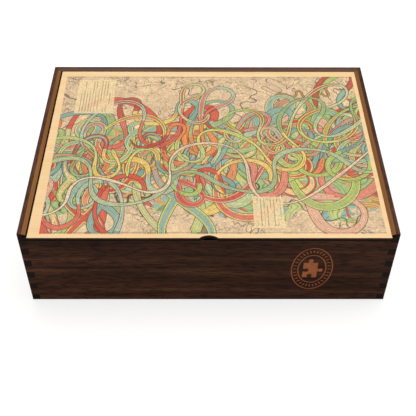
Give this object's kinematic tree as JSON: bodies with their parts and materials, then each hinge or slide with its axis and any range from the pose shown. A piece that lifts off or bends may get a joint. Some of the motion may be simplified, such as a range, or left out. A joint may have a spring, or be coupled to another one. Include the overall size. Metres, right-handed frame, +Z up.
{
  "type": "boxed jigsaw puzzle",
  "caption": "Finger-jointed stained wooden box with a printed sliding lid, holding stacked layers of interlocking jigsaw pieces.",
  "frame": {"origin": "on the surface the box stands on, at the middle of its outline with the lid shut", "axes": "+X across the box to the right seen from the front, +Y to the back, +Z up"},
  "size_m": [0.34, 0.255, 0.0935],
  "materials": {
    "stained_wood": "dark walnut stain, satin, open grain",
    "bottom_plywood": "bare birch plywood",
    "stained_panel": "dark stained plywood, matt",
    "printed_plywood": "printed birch face, satin, a made-up map of winding rivers",
    "jigsaw_plywood": "printed plywood with laser-browned edges"
  },
  "bodies": {
    "box": {"front_wall": "stained_wood", "back_wall": "stained_wood", "left_wall": "stained_wood", "right_wall": "stained_wood", "bottom_panel": "bottom_plywood", "puzzle_layer_1_row_1": "jigsaw_plywood", "puzzle_layer_1_row_2": "jigsaw_plywood", "puzzle_layer_1_row_3": "jigsaw_plywood", "puzzle_layer_1_row_4": "jigsaw_plywood", "puzzle_layer_1_row_5": "jigsaw_plywood", "puzzle_layer_1_row_6": "jigsaw_plywood", "puzzle_layer_1_row_7": "jigsaw_plywood", "puzzle_layer_1_row_8": "jigsaw_plywood", "puzzle_layer_1_row_9": "jigsaw_plywood", "puzzle_layer_2_row_1": "jigsaw_plywood", "puzzle_layer_2_row_2": "jigsaw_plywood", "puzzle_layer_2_row_3": "jigsaw_plywood", "puzzle_layer_2_row_4": "jigsaw_plywood", "puzzle_layer_2_row_5": "jigsaw_plywood", "puzzle_layer_2_row_6": "jigsaw_plywood", "puzzle_layer_2_row_7": "jigsaw_plywood", "puzzle_layer_2_row_8": "jigsaw_plywood", "puzzle_layer_2_row_9": "jigsaw_plywood", "puzzle_layer_3_row_1": "jigsaw_plywood", "puzzle_layer_3_row_2": "jigsaw_plywood", "puzzle_layer_3_row_3": "jigsaw_plywood", "puzzle_layer_3_row_4": "jigsaw_plywood", "puzzle_layer_3_row_5": "jigsaw_plywood", "puzzle_layer_3_row_6": "jigsaw_plywood", "puzzle_layer_3_row_7": "jigsaw_plywood", "puzzle_layer_3_row_8": "jigsaw_plywood", "puzzle_layer_3_row_9": "jigsaw_plywood"},
    "lid": {"lid_panel": "stained_panel", "lid_print": "printed_plywood"},
    "corner_piece": {"loose_corner_piece": "jigsaw_plywood"},
    "edge_piece": {"loose_edge_piece": "jigsaw_plywood"},
    "middle_piece": {"loose_middle_piece": "jigsaw_plywood"}
  },
  "joints": [
    {"name": "lid_slide", "type": "slide", "parent": "box", "child": "lid", "axis": [0, -1, 0], "range_m": [0, 0.25]},
    {"name": "corner_piece_lift", "type": "slide", "parent": "box", "child": "corner_piece", "axis": [0, 0, 1], "range_m": [0, 0.06]},
    {"name": "edge_piece_lift", "type": "slide", "parent": "box", "child": "edge_piece", "axis": [0, 0, 1], "range_m": [0, 0.06]},
    {"name": "middle_piece_lift", "type": "slide", "parent": "box", "child": "middle_piece", "axis": [0, 0, 1], "range_m": [0, 0.06]}
  ]
}
